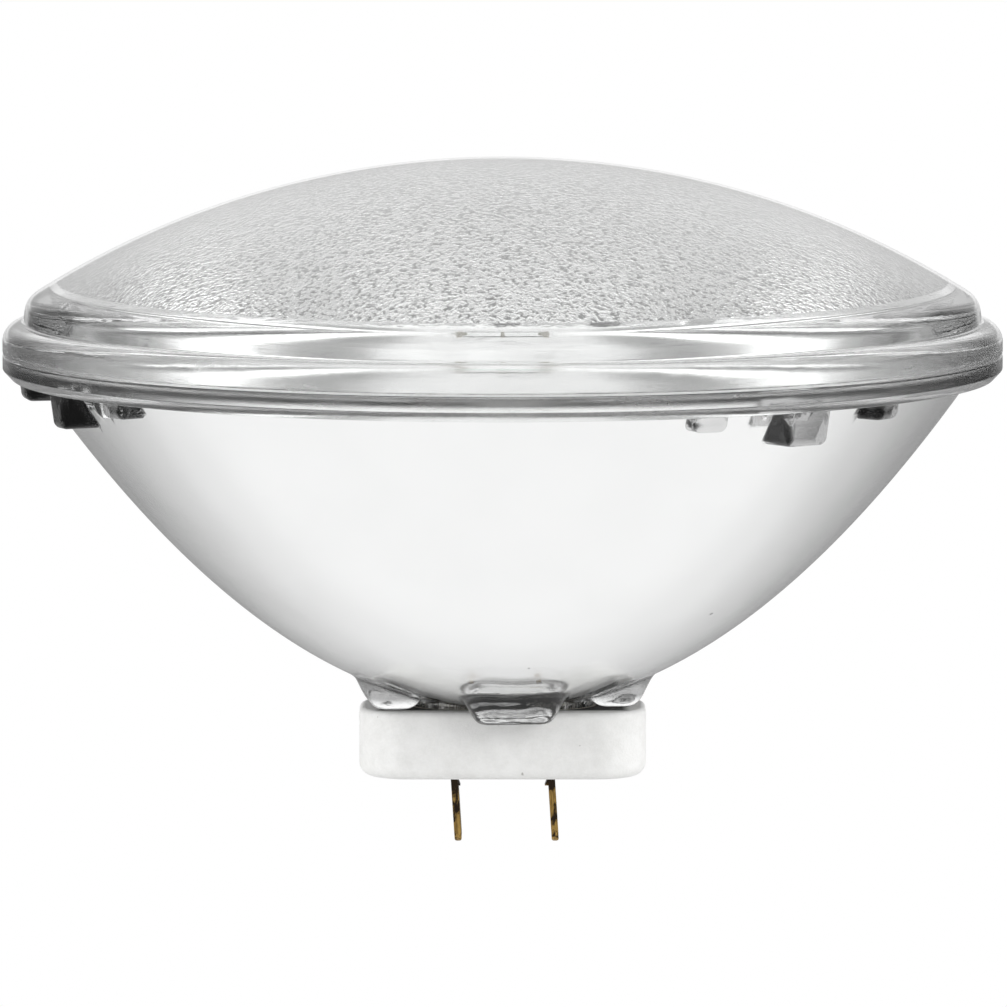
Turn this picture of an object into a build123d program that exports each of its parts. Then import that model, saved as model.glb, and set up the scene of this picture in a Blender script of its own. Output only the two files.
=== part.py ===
from build123d import *
import math
import os

# Sealed reflector spotlight lamp: a pressed-glass lens fused to a pressed-glass reflector bowl,
# a ceramic base cemented under the bowl, and two flat contact blades.
# Millimetres. The origin is the rim's centre on the fused seam, and +Z looks out through the lens.

# Rim, shared by the lens and the reflector
rim_radius = 89.0
seam_round = 0.45

# Lens: a stepped flange, a short skirt and a shallow dome
shoulder_height = 5.4
shoulder_width = 3.7
shoulder_round = 3.3
notch_round = 0.6
skirt_draft = 0.5
skirt_wall = 5.4
dome_edge_height = 9.4
dome_edge_round = 4.0
dome_rise = 24.9
lens_wall = 2.6
lens_inner_round = 1.2

# Reflector: a bevelled flange on a parabolic bowl
flange_depth = 4.4
bevel_width = 1.6
bevel_height = 1.7
seat_width = 4.2
bowl_depth = 63.95
bowl_wall = 3.6
mouth_step = 0.5

# Corners of the glass blocks: largest share of a block's length between its radii
corner_limit = 0.45
wall_tolerance = 0.01

# Locating lugs under the flange: a key between two low pads, in three sets. The unequal spacing
# and the one wide key fit the lamp to its ring one way only. Angles run from the front (-Y) to +X.
key_angles = (-64.2, 166.6)
wide_key_angle = 37.4
pad_spacing = 13.0
lug_inset = 2.0
lug_draft = 8.0
lug_corner = 1.3
lug_edge_round = 0.8
lug_bury = 1.0
key_width = 6.5
wide_key_width = 10.5
key_drop = 6.0
pad_width = 7.0
pad_drop = 2.7

# Glass feet on the back of the bowl: two seats at the sides, two laps at the front and back,
# all set a little round from the line of the contacts
foot_turn = 6.0
foot_reach = 27.1
foot_width = 20.4
foot_corner = 6.0
foot_edge_round = 2.2
foot_draft = 26.0
foot_bury = 1.2
foot_root_round = 1.5
lap_drop = 1.1
lap_clearance = 0.4

# Spigot and sealed-off exhaust tip between the feet
seat_inset = 0.45
spigot_drop = 1.0
spigot_margin = 0.3
tip_radius = 2.8
tip_length = 3.2

# Ceramic base
base_length = 51.2
base_depth = 25.0
base_height = 12.2
base_corner = 9.0
base_bottom_round = 2.4
base_top_round = 1.0
pocket_depth = 6.6
pocket_clearance = 0.6

# Contacts: one metal cup, lead rod and blade at each side
contact_pitch = 17.35
ferrule_radius = 5.0
ferrule_wall = 0.6
ferrule_floor = 0.8
ferrule_bite = 2.5
ferrule_drop = 4.0
ferrule_round = 0.5
rod_radius = 1.2
rod_clearance = 0.8
blade_thickness = 1.25
blade_width = 10.0
blade_reach = 12.1
blade_lean = 3.6
blade_tip_corner = 2.6
blade_edge_round = 0.55
slot_clearance = 0.15
nib_drop = 1.0
nib_height = 1.3
nib_width = 3.0
nib_proud = 0.5

# Filament mount at the bowl's focus
tab_thickness = 1.0
tab_width = 3.2
tab_height = 5.0
tab_taper = 3.0
coil_radius = 1.4
coil_wall = 0.35
bead_below_coil = 13.0
bead_width = 6.0
bead_height = 5.0
bead_round = 1.5
support_radius = 0.4
support_clearance = 0.15
support_socket = 2.0

# Radii that follow from the rim
skirt_radius = rim_radius - shoulder_width
skirt_top_radius = skirt_radius - skirt_draft
lens_mouth_radius = skirt_radius - skirt_wall
seat_outer_radius = rim_radius - bevel_width
bowl_shoulder_radius = seat_outer_radius - seat_width
bowl_mouth_radius = lens_mouth_radius + mouth_step
lug_reach = rim_radius - lug_inset

# Dome sphere: it passes through the skirt's top edge and the crown
crown_height = dome_edge_height + dome_rise
dome_radius = (skirt_top_radius**2 + dome_rise**2) / (2 * dome_rise)
dome_centre = crown_height - dome_radius
inner_edge_height = dome_centre + math.sqrt((dome_radius - lens_wall) ** 2 - lens_mouth_radius**2)

# Depths below the seam
cavity_depth = bowl_depth - bowl_wall
focal_length = bowl_mouth_radius**2 / (4 * cavity_depth)
coil_depth = cavity_depth - focal_length
seat_depth = bowl_depth - seat_inset
spigot_depth = seat_depth + spigot_drop
ferrule_depth = spigot_depth + ferrule_drop
base_bottom_depth = seat_depth + base_height
pocket_floor_depth = seat_depth + pocket_depth
bead_depth = coil_depth + bead_below_coil

contact_offsets = {"left": -contact_pitch / 2, "right": contact_pitch / 2}
contact_points = [(offset_x, 0) for offset_x in contact_offsets.values()]


def bowl_radius_at(depth):
    """Radius of the bowl's outer wall at a depth below the seam."""
    return bowl_shoulder_radius * math.sqrt((bowl_depth - depth) / (bowl_depth - flange_depth))


def bowl_depth_at(radius):
    """Depth below the seam at which the bowl's outer wall has this radius."""
    return bowl_depth - (bowl_depth - flange_depth) * (radius / bowl_shoulder_radius) ** 2


spigot_radius = bowl_radius_at(seat_depth) + spigot_margin
pocket_radius = spigot_radius + pocket_clearance


def level(depth):
    """Horizontal plane at a depth below the seam."""
    return Plane.XY.offset(-depth)


def turned(angles):
    """Turns about the lamp's axis that bring +X to these angles from the front."""
    return [Location((0, 0, 0), (0, 0, angle - 90)) for angle in angles]


def glass_block(root, reach, width, top_depth, bottom_depth, draft, corner, edge_round):
    """Drafted block of glass that hangs from top_depth, between two radii along +X."""
    with BuildPart() as block:
        with BuildSketch(level(top_depth)):
            with Locations(((root + reach) / 2, 0)):
                RectangleRounded(reach - root, width, min(corner, corner_limit * (reach - root)))
        extrude(amount=bottom_depth - top_depth, dir=(0, 0, -1), taper=draft)
        fillet(block.edges().group_by(Axis.Z)[0], edge_round)
    return block.part


def ring_edge(solid, radius, height):
    """The circular edge nearest to this radius and height."""
    rings = solid.edges().filter_by(GeomType.CIRCLE)
    return rings.sort_by(lambda ring: abs(ring.radius - radius) + abs(ring.arc_center.Z - height))[0]


def on_bowl(edge):
    """Whether the edge's middle lies on the bowl's outer wall."""
    middle = edge @ 0.5
    return abs(bowl_depth_at(math.hypot(middle.X, middle.Y)) + middle.Z) < wall_tolerance


# Lens: section through the wall, turned about the lamp's axis
with BuildPart() as lens:
    with BuildSketch(Plane.XZ):
        with BuildLine():
            TangentArc((0, crown_height), (skirt_top_radius, dome_edge_height), tangent=(1, 0))
            Polyline(
                (skirt_top_radius, dome_edge_height),
                (skirt_radius, shoulder_height),
                (rim_radius, shoulder_height),
                (rim_radius, 0),
                (lens_mouth_radius, 0),
                (lens_mouth_radius, inner_edge_height),
            )
            TangentArc(
                (0, crown_height - lens_wall),
                (lens_mouth_radius, inner_edge_height),
                tangent=(1, 0),
            )
            Line((0, crown_height - lens_wall), (0, crown_height))
        make_face()
    revolve(axis=Axis.Z)
    for radius, height, rounding in (
        (skirt_top_radius, dome_edge_height, dome_edge_round),
        (skirt_radius, shoulder_height, notch_round),
        (rim_radius, shoulder_height, shoulder_round),
        (rim_radius, 0, seam_round),
        (lens_mouth_radius, inner_edge_height, lens_inner_round),
    ):
        fillet(ring_edge(lens, radius, height), rounding)
lens.part.label = "lens"

# Reflector: key lug, pad and the two kinds of foot are shaped once and set round the bowl
lug_top_depth = flange_depth - lug_bury
lug_sizes = {
    "key": (key_width, key_drop),
    "wide_key": (wide_key_width, key_drop),
    "pad": (pad_width, pad_drop),
}
lug_angles = {
    "key": key_angles,
    "wide_key": (wide_key_angle,),
    "pad": [
        angle + side * pad_spacing
        for angle in (*key_angles, wide_key_angle)
        for side in (-1, 1)
    ],
}
lugs = {
    name: glass_block(
        bowl_radius_at(flange_depth + drop) - bowl_wall / 2,
        lug_reach,
        width,
        lug_top_depth,
        flange_depth + drop,
        lug_draft,
        lug_corner,
        lug_edge_round,
    )
    for name, (width, drop) in lug_sizes.items()
}

foot_angles = {"seat": (foot_turn + 90, foot_turn + 270), "lap": (foot_turn, foot_turn + 180)}
foot_root = base_depth / 2 + lap_clearance
foot_top_depth = bowl_depth_at(foot_reach) - foot_bury
feet = {
    name: glass_block(
        foot_root,
        foot_reach,
        foot_width,
        foot_top_depth,
        depth,
        foot_draft,
        foot_corner,
        foot_edge_round,
    )
    for name, depth in (("seat", seat_depth), ("lap", seat_depth + lap_drop))
}

with BuildPart() as reflector:
    # Flange and bowl, still solid
    with BuildSketch(Plane.XZ):
        with BuildLine():
            Bezier(
                (0, -bowl_depth),
                (bowl_shoulder_radius / 2, -bowl_depth),
                (bowl_shoulder_radius, -flange_depth),
            )
            Polyline(
                (bowl_shoulder_radius, -flange_depth),
                (seat_outer_radius, -flange_depth),
                (rim_radius, bevel_height - flange_depth),
                (rim_radius, 0),
                (0, 0),
                (0, -bowl_depth),
            )
        make_face()
    revolve(axis=Axis.Z)
    fillet(ring_edge(reflector, rim_radius, 0), seam_round)
    # Lugs under the flange, feet and spigot on the back
    for name, angles in lug_angles.items():
        with Locations(*turned(angles)):
            add(lugs[name])
    for name, angles in foot_angles.items():
        with Locations(*turned(angles)):
            add(feet[name])
    wall_edges = reflector.edges().filter_by_position(Axis.Z, -bowl_depth, -foot_top_depth)
    fillet([edge for edge in wall_edges if on_bowl(edge)], foot_root_round)
    with BuildSketch(level(spigot_depth)):
        SlotCenterToCenter(contact_pitch, 2 * spigot_radius)
    extrude(amount=spigot_depth - foot_top_depth)
    with BuildSketch(Plane.XZ):
        with BuildLine():
            Bezier(
                (0, -spigot_depth - tip_length),
                (tip_radius, -spigot_depth - tip_length),
                (tip_radius, -spigot_depth),
            )
            Polyline((tip_radius, -spigot_depth), (0, -spigot_depth), (0, -spigot_depth - tip_length))
        make_face()
    revolve(axis=Axis.Z)
    # Mirror cavity
    with BuildSketch(Plane.XZ):
        with BuildLine():
            Bezier(
                (0, -cavity_depth),
                (bowl_mouth_radius / 2, -cavity_depth),
                (bowl_mouth_radius, 0),
            )
            Polyline((bowl_mouth_radius, 0), (0, 0), (0, -cavity_depth))
        make_face()
    revolve(axis=Axis.Z, mode=Mode.SUBTRACT)
    # Grooves that the metal cups are sealed into, and the holes for the lead rods
    with BuildSketch(level(spigot_depth)):
        with Locations(*contact_points):
            Circle(ferrule_radius)
            Circle(ferrule_radius - ferrule_wall, mode=Mode.SUBTRACT)
    extrude(amount=ferrule_bite, mode=Mode.SUBTRACT)
    with BuildSketch(level(spigot_depth)):
        with Locations(*contact_points):
            Circle(rod_radius + rod_clearance)
    extrude(amount=spigot_depth, mode=Mode.SUBTRACT)
reflector.part.label = "reflector"

# Ceramic base: a rounded block, open at the top for the spigot, cups and cement
with BuildPart() as ceramic_base:
    with BuildSketch(level(base_bottom_depth)):
        RectangleRounded(base_length, base_depth, base_corner)
    extrude(amount=base_height)
    fillet(ceramic_base.edges().group_by(Axis.Z)[0], base_bottom_round)
    fillet(ceramic_base.edges().group_by(Axis.Z)[-1], base_top_round)
    with BuildSketch(level(seat_depth)):
        SlotCenterToCenter(contact_pitch, 2 * pocket_radius)
    extrude(amount=-pocket_depth, mode=Mode.SUBTRACT)
    with BuildSketch(level(base_bottom_depth)):
        with Locations(*contact_points):
            Rectangle(blade_thickness + 2 * slot_clearance, blade_width + 2 * slot_clearance)
    extrude(amount=base_height - pocket_depth, mode=Mode.SUBTRACT)
ceramic_base.part.label = "ceramic_base"

# Cement: it fills the pocket round the spigot, the cups, the tip and the blades' upper ends
with BuildPart() as base_cement:
    with BuildSketch(level(pocket_floor_depth)):
        SlotCenterToCenter(contact_pitch, 2 * pocket_radius)
    extrude(amount=pocket_depth)
    with BuildSketch(level(spigot_depth)):
        SlotCenterToCenter(contact_pitch, 2 * spigot_radius)
    extrude(amount=spigot_drop, mode=Mode.SUBTRACT)
    with BuildSketch(level(ferrule_depth)):
        with Locations(*contact_points):
            Circle(ferrule_radius)
    extrude(amount=ferrule_drop, mode=Mode.SUBTRACT)
    with BuildSketch(level(pocket_floor_depth)):
        with Locations(*contact_points):
            Rectangle(blade_thickness, blade_width)
    extrude(amount=pocket_floor_depth - ferrule_depth, mode=Mode.SUBTRACT)
    add(reflector.part, mode=Mode.SUBTRACT)
base_cement.part.label = "base_cement"


def ferrule(offset_x):
    """Metal cup whose rim is sealed into the glass spigot."""
    with BuildPart() as cup:
        with BuildSketch(level(ferrule_depth)):
            with Locations((offset_x, 0)):
                Circle(ferrule_radius)
        extrude(amount=ferrule_drop + ferrule_bite)
        fillet(cup.edges().group_by(Axis.Z)[0], ferrule_round)
        with BuildSketch(level(ferrule_depth - ferrule_floor)):
            with Locations((offset_x, 0)):
                Circle(ferrule_radius - ferrule_wall)
        extrude(amount=ferrule_drop + ferrule_bite, mode=Mode.SUBTRACT)
    return cup.part


def lead_rod(offset_x):
    """Round rod from the cup's floor up to a flattened tab beside the coil."""
    rod_bottom = ferrule_depth - ferrule_floor
    tab_bottom = coil_depth + tab_height / 2
    rod_top = tab_bottom + tab_taper
    with BuildPart() as rod:
        with BuildSketch(level(rod_bottom)):
            with Locations((offset_x, 0)):
                Circle(rod_radius)
        extrude(amount=rod_bottom - rod_top)
        with BuildSketch(level(rod_top)):
            with Locations((offset_x, 0)):
                Circle(rod_radius)
        with BuildSketch(level(tab_bottom)):
            with Locations((offset_x, 0)):
                Rectangle(tab_thickness, tab_width)
        loft()
        with BuildSketch(level(tab_bottom)):
            with Locations((offset_x, 0)):
                Rectangle(tab_thickness, tab_width)
        extrude(amount=tab_height)
    return rod.part


def contact_blade(offset_x, nib_side):
    """Flat prong that leans a little below the ceramic, with a staking nib on one face."""
    lean = math.radians(blade_lean)
    stem = base_bottom_depth - ferrule_depth
    half = blade_thickness / 2
    tip_x = blade_reach * math.sin(lean)
    tip_z = -blade_reach * math.cos(lean)
    side_x = half * math.cos(lean)
    side_z = half * math.sin(lean)
    edge_view = Plane(origin=(offset_x, 0, -base_bottom_depth), x_dir=(1, 0, 0), z_dir=(0, -1, 0))
    face_view = Plane(origin=(offset_x, 0, -base_bottom_depth), x_dir=(0, 1, 0), z_dir=(1, 0, 0))
    with BuildPart() as blade:
        with BuildSketch(edge_view) as strip:
            with BuildLine():
                Polyline(
                    (-half, stem),
                    (half, stem),
                    (half, 0),
                    (tip_x + side_x, tip_z + side_z),
                    (tip_x - side_x, tip_z - side_z),
                    (-half, 0),
                    close=True,
                )
            make_face()
            fillet(strip.vertices().sort_by(Axis.Y)[:2], blade_edge_round)
        extrude(amount=blade_width / 2, both=True)
        with BuildSketch(face_view) as outline:
            with Locations((0, (stem - blade_reach) / 2)):
                Rectangle(blade_width, stem + blade_reach)
            fillet(outline.vertices().group_by(Axis.Y)[0], blade_tip_corner)
        extrude(amount=blade_reach, both=True, mode=Mode.INTERSECT)
        with BuildSketch(edge_view):
            with BuildLine():
                Polyline(
                    (0, -nib_drop),
                    (nib_side * half, -nib_drop),
                    (nib_side * (half + nib_proud), -nib_drop - nib_height),
                    (0, -nib_drop - nib_height),
                    close=True,
                )
            make_face()
        extrude(amount=nib_width / 2, both=True)
    return blade.part


# Glass bead that ties the two lead rods together and holds the coil's support
with BuildPart() as bridge_bead:
    with BuildSketch(level(bead_depth + bead_height / 2)):
        SlotCenterToCenter(contact_pitch, bead_width)
    extrude(amount=bead_height)
    fillet(bridge_bead.edges().group_by(Axis.Z)[0], bead_round)
    fillet(bridge_bead.edges().group_by(Axis.Z)[-1], bead_round)
    with BuildSketch(level(bead_depth + bead_height / 2)):
        with Locations(*contact_points):
            Circle(rod_radius)
    extrude(amount=bead_height, mode=Mode.SUBTRACT)
    with BuildSketch(level(bead_depth - bead_height / 2)):
        Circle(support_radius)
    extrude(amount=-support_socket, mode=Mode.SUBTRACT)
bridge_bead.part.label = "bridge_bead"

# Support wire: a straight stem and a ring round the middle of the coil
ring_radius = coil_radius + support_clearance + support_radius
support_foot = bead_depth - bead_height / 2 + support_socket
with BuildPart() as filament_support:
    with BuildSketch(level(support_foot)):
        Circle(support_radius)
    extrude(amount=support_foot - coil_depth - ring_radius)
    with Locations((0, 0, -coil_depth)):
        Torus(ring_radius, support_radius, rotation=(0, 90, 0))
filament_support.part.label = "filament_support"

# Coiled filament, as the tube that its turns lie in
with BuildPart() as filament:
    with BuildSketch(Plane.YZ.offset(tab_thickness / 2 - contact_pitch / 2)):
        with Locations((0, -coil_depth)):
            Circle(coil_radius)
            Circle(coil_radius - coil_wall, mode=Mode.SUBTRACT)
    extrude(amount=contact_pitch - tab_thickness)
filament.part.label = "filament"

pieces = [
    lens.part,
    reflector.part,
    ceramic_base.part,
    base_cement.part,
    bridge_bead.part,
    filament_support.part,
    filament.part,
]
for side, offset_x in contact_offsets.items():
    nib_side = 1 if side == "left" else -1
    for name, piece in (
        ("ferrule", ferrule(offset_x)),
        ("lead_rod", lead_rod(offset_x)),
        ("contact_blade", contact_blade(offset_x, nib_side)),
    ):
        piece.label = f"{name}_{side}"
        pieces.append(piece)

os.makedirs("parts", exist_ok=True)
for piece in pieces:
    export_step(piece, f"parts/{piece.label}.step")
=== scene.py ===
import math

import bmesh
import bpy
from mathutils import Matrix, Vector


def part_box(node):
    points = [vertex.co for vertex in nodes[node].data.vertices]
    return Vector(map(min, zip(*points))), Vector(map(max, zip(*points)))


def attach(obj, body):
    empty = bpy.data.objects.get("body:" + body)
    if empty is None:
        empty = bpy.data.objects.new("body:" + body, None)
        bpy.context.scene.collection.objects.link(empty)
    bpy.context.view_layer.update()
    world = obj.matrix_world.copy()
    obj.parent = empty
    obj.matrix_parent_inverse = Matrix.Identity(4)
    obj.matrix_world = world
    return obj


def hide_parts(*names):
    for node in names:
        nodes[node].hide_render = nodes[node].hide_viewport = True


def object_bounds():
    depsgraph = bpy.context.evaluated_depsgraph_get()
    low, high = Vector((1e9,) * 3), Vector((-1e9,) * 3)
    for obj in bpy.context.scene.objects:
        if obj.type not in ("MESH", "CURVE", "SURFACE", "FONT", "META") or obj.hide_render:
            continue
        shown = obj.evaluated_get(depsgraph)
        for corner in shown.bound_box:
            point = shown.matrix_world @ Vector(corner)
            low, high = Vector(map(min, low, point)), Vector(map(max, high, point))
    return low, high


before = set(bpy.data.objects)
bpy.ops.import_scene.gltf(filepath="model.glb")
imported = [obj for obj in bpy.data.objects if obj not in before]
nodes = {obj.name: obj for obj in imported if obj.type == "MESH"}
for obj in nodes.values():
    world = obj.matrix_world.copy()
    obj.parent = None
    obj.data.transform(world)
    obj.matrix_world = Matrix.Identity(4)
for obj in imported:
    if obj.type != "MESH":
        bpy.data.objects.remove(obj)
cadLow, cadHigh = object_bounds()
mm = 0.001
tiny = 1e-7
weldGap = 0.001 * mm
rimRadius = cadHigh.x
print("frame loaded: rim", round(2 * rimRadius / mm, 1), "mm across")


# Shader and geometry trees: small helpers

def addNode(tree, kind, **settings):
    node = tree.nodes.new(kind)
    for name, value in settings.items():
        setattr(node, name, value)
    return node


def feed(tree, node, socket, source):
    target = node.inputs[socket]
    if isinstance(source, bpy.types.NodeSocket):
        tree.links.new(source, target)
    else:
        target.default_value = source


def calc(tree, operation, *sources):
    node = addNode(tree, "ShaderNodeMath", operation=operation)
    for index, source in enumerate(sources):
        feed(tree, node, index, source)
    return node.outputs[0]


def vectorCalc(tree, operation, *sources, output=0):
    node = addNode(tree, "ShaderNodeVectorMath", operation=operation)
    for index, source in enumerate(sources):
        feed(tree, node, index, source)
    return node.outputs[output]


def noise(tree, coords, scale, detail=2.0, roughness=0.5, distortion=0.0):
    node = addNode(tree, "ShaderNodeTexNoise")
    feed(tree, node, "Vector", coords)
    feed(tree, node, "Scale", scale)
    feed(tree, node, "Detail", detail)
    feed(tree, node, "Roughness", roughness)
    feed(tree, node, "Distortion", distortion)
    return node.outputs[0]


def grey(level):
    return (level, level, level, 1.0)


def greyRamp(tree, source, stops):
    # stops of (place, level); the ramp runs straight between them
    node = addNode(tree, "ShaderNodeValToRGB")
    feed(tree, node, "Fac", source)
    elements = node.color_ramp.elements
    while len(elements) < len(stops):
        elements.new(0.5)
    for element, (place, level) in zip(elements, stops):
        element.position = place
        element.color = grey(level)
    return node.outputs["Color"]


def remap(tree, source, fromLow, fromHigh, toLow, toHigh):
    node = addNode(tree, "ShaderNodeMapRange", interpolation_type="SMOOTHSTEP")
    feed(tree, node, "Value", source)
    feed(tree, node, "From Min", fromLow)
    feed(tree, node, "From Max", fromHigh)
    feed(tree, node, "To Min", toLow)
    feed(tree, node, "To Max", toHigh)
    return node.outputs[0]


def blendColours(tree, share, first, second):
    node = addNode(tree, "ShaderNodeMix", data_type="RGBA")
    feed(tree, node, 0, share)
    feed(tree, node, 6, first)
    feed(tree, node, 7, second)
    return node.outputs[2]


def axisParts(tree, coords):
    node = addNode(tree, "ShaderNodeSeparateXYZ")
    feed(tree, node, 0, coords)
    return node.outputs


def stretched(tree, coords, scale):
    return vectorCalc(tree, "MULTIPLY", coords, scale)


def bump(tree, shader, height, distance):
    node = addNode(tree, "ShaderNodeBump")
    feed(tree, node, "Height", height)
    feed(tree, node, "Strength", 1.0)
    feed(tree, node, "Distance", distance)
    feed(tree, shader, "Normal", node.outputs["Normal"])


def roughen(tree, shader, grain, smooth, rough):
    # the noise seldom leaves the range from 0.3 to 0.7
    feed(tree, shader, "Roughness", remap(tree, grain, 0.3, 0.7, smooth, rough))


def mixShaders(tree, share, first, second):
    node = addNode(tree, "ShaderNodeMixShader")
    feed(tree, node, 0, share)
    feed(tree, node, 1, first.outputs[0])
    feed(tree, node, 2, second.outputs[0])
    return node


def showShader(tree, node):
    tree.links.new(node.outputs[0], tree.nodes["Material Output"].inputs["Surface"])


def newMaterial(name):
    material = bpy.data.materials.new(name)
    material.use_nodes = True
    tree = material.node_tree
    coords = addNode(tree, "ShaderNodeTexCoord").outputs["Object"]
    return material, tree, tree.nodes["Principled BSDF"], coords


def newTree(name, **sockets):
    tree = bpy.data.node_groups.new(name, "GeometryNodeTree")
    kinds = {"Geometry": "NodeSocketGeometry"}
    for label, default in sockets.items():
        kind = "NodeSocketMaterial" if default is None else "NodeSocketFloat"
        if isinstance(default, int):
            kind = "NodeSocketInt"
        kinds[label] = kind
    for label, kind in kinds.items():
        socket = tree.interface.new_socket(name=label, in_out="INPUT", socket_type=kind)
        if sockets.get(label) is not None:
            socket.default_value = sockets[label]
    tree.interface.new_socket(name="Geometry", in_out="OUTPUT", socket_type="NodeSocketGeometry")
    return tree, addNode(tree, "NodeGroupInput").outputs, addNode(tree, "NodeGroupOutput")


def realAndPainted(tree, source, material):
    real = addNode(tree, "GeometryNodeRealizeInstances")
    feed(tree, real, 0, source)
    paint = addNode(tree, "GeometryNodeSetMaterial")
    feed(tree, paint, "Geometry", real.outputs[0])
    feed(tree, paint, "Material", material)
    return paint.outputs[0]


def newPiece(name, mesh):
    piece = bpy.data.objects.new(name, mesh)
    bpy.context.scene.collection.objects.link(piece)
    return piece


def plainMesh(piece):
    depsgraph = bpy.context.evaluated_depsgraph_get()
    mesh = bpy.data.meshes.new_from_object(
        piece.evaluated_get(depsgraph), preserve_all_data_layers=True, depsgraph=depsgraph
    )
    piece.modifiers.clear()
    piece.data = mesh
    mesh.name = piece.name


def runTree(piece, tree, **values):
    modifier = piece.modifiers.new(tree.name, "NODES")
    modifier.node_group = tree
    for item in tree.interface.items_tree:
        if item.in_out == "INPUT" and item.name in values:
            modifier[item.identifier] = values[item.name]
    plainMesh(piece)


def setMaterials(piece, *materials):
    piece.data.materials.clear()
    for material in materials:
        piece.data.materials.append(material)


def shadeSmooth(piece, angle):
    piece.data.shade_smooth()
    piece.data.set_sharp_from_angle(angle=math.radians(angle))


def trueFlats(piece):
    # large faces keep their own direction, and only the roundings between them blend
    modifier = piece.modifiers.new("trueFlats", "WEIGHTED_NORMAL")
    modifier.weight = 100
    modifier.keep_sharp = True
    plainMesh(piece)


def finishPiece(piece, slot, *replaced):
    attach(piece, "root")
    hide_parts(*replaced)
    print(piece.name, "made,", len(piece.data.loop_triangles) or len(piece.data.polygons), "faces")


# Glass: clear on the outside, stippled inside the dome, and with painted shade in the thick lugs and feet
glassLook = {
    "tint": (0.985, 0.99, 0.987, 1.0), "ior": 1.47,
    "streakTurns": 9, "streakRise": 700, "streakDepth": 0.014 * mm,
    "hazeMiddle": -0.4 * mm, "hazeCore": 0.5, "hazeReach": 4.2 * mm, "hazeRough": 0.2, "hazeStreaks": 2.0,
    "stipplePitch": 0.85 * mm, "stippleDepth": 0.23 * mm, "stippleRough": 0.1,
    # painted shade in the steepest grain, stronger towards the crown
    "pitShadeFrom": 0.535, "pitShadeTo": 0.64, "pitShadeTint": (0.07, 0.072, 0.07, 1.0),
    "crownPitShade": 0.05, "crownFrom": 22.0 * mm, "crownTo": 30.0 * mm,
    # painted shade at each place across the lamp
    "paintedLugShade": (
        (-72 * mm, 0.004), (-64 * mm, 0.22), (-45 * mm, 0.12), (28 * mm, 0.12), (33 * mm, 0.62),
        (42 * mm, 0.55), (47 * mm, 0.3), (58 * mm, 0.22), (62 * mm, 0.006), (66 * mm, 0.05), (71 * mm, 0.4),
    ),
    "dimmedLugSheen": 0.2, "sheenFrom": -20.0 * mm, "sheenTo": -40.0 * mm,
    # the feet's painted root shade fades to this clear tint at their toes
    "toeTint": (0.75, 0.755, 0.75, 1.0), "toeFrom": -61.2 * mm, "toeTo": -63.0 * mm,
    "rippleStretch": (1, 1, 4), "rippleScale": 300, "rippleDepth": 0.03 * mm,
}
mirrorLook = {
    "bright": 0.93, "driftScale": 60, "smooth": 0.07, "rough": 0.15,
    "pinhole": 0.2, "pinholeScale": 520, "pinholeFrom": 0.80, "pinholeTo": 0.83, "pinholeShare": 0.6,
}
jointLook = {"shade": 0.03, "rough": 0.3, "patchScale": 28, "patches": ((0.56, 0.0), (0.66, 0.5))}


def glassShader(name):
    material, tree, shader, coords = newMaterial(name)
    shader.inputs["Base Color"].default_value = glassLook["tint"]
    shader.inputs["Roughness"].default_value = 0.0
    shader.inputs["IOR"].default_value = glassLook["ior"]
    shader.inputs["Transmission Weight"].default_value = 1.0
    return material, tree, shader, coords


def pressedGlass():
    # faint streaks run round the rim, as the mould left them
    material, tree, shader, coords = glassShader("pressedGlass")
    around = vectorCalc(tree, "NORMALIZE", stretched(tree, coords, (1, 1, 0)))
    turns = stretched(tree, around, (glassLook["streakTurns"],) * 3)
    rise = stretched(tree, coords, (0, 0, glassLook["streakRise"]))
    streaks = noise(tree, vectorCalc(tree, "ADD", turns, rise), 1.0, detail=3.0, roughness=0.6)
    # near the seam the flame left the surface a little hazy and wavy; the streaks are half bright on average
    height = axisParts(tree, coords)["Z"]
    fromMiddle = calc(tree, "ABSOLUTE", calc(tree, "SUBTRACT", height, glassLook["hazeMiddle"]))
    core = glassLook["hazeCore"] * glassLook["hazeReach"]
    haze = remap(tree, fromMiddle, core, glassLook["hazeReach"], 1.0, 0.0)
    dulled = calc(tree, "MULTIPLY", streaks, 2 * glassLook["hazeRough"])
    feed(tree, shader, "Roughness", calc(tree, "MULTIPLY", haze, dulled))
    swell = calc(tree, "MULTIPLY_ADD", haze, glassLook["hazeStreaks"], 1.0)
    bump(tree, shader, calc(tree, "MULTIPLY", streaks, swell), glassLook["streakDepth"])
    return material


def stippledGlass():
    material, tree, shader, coords = glassShader("stippledGlass")
    shader.inputs["Roughness"].default_value = glassLook["stippleRough"]
    grain = noise(tree, coords, 1 / glassLook["stipplePitch"], detail=1.5, distortion=0.5)
    bump(tree, shader, grain, glassLook["stippleDepth"])
    # painted shade: where the grain is steepest the glass is tinted dark, and most so towards the crown
    height = axisParts(tree, coords)["Z"]
    crown = remap(tree, height, glassLook["crownFrom"], glassLook["crownTo"], 0.0, glassLook["crownPitShade"])
    deep = calc(tree, "ADD", grain, crown)
    pitShade = remap(tree, deep, glassLook["pitShadeFrom"], glassLook["pitShadeTo"], 0.0, 1.0)
    feed(tree, shader, "Base Color", blendColours(tree, pitShade, glassLook["tint"], glassLook["pitShadeTint"]))
    return material


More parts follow.
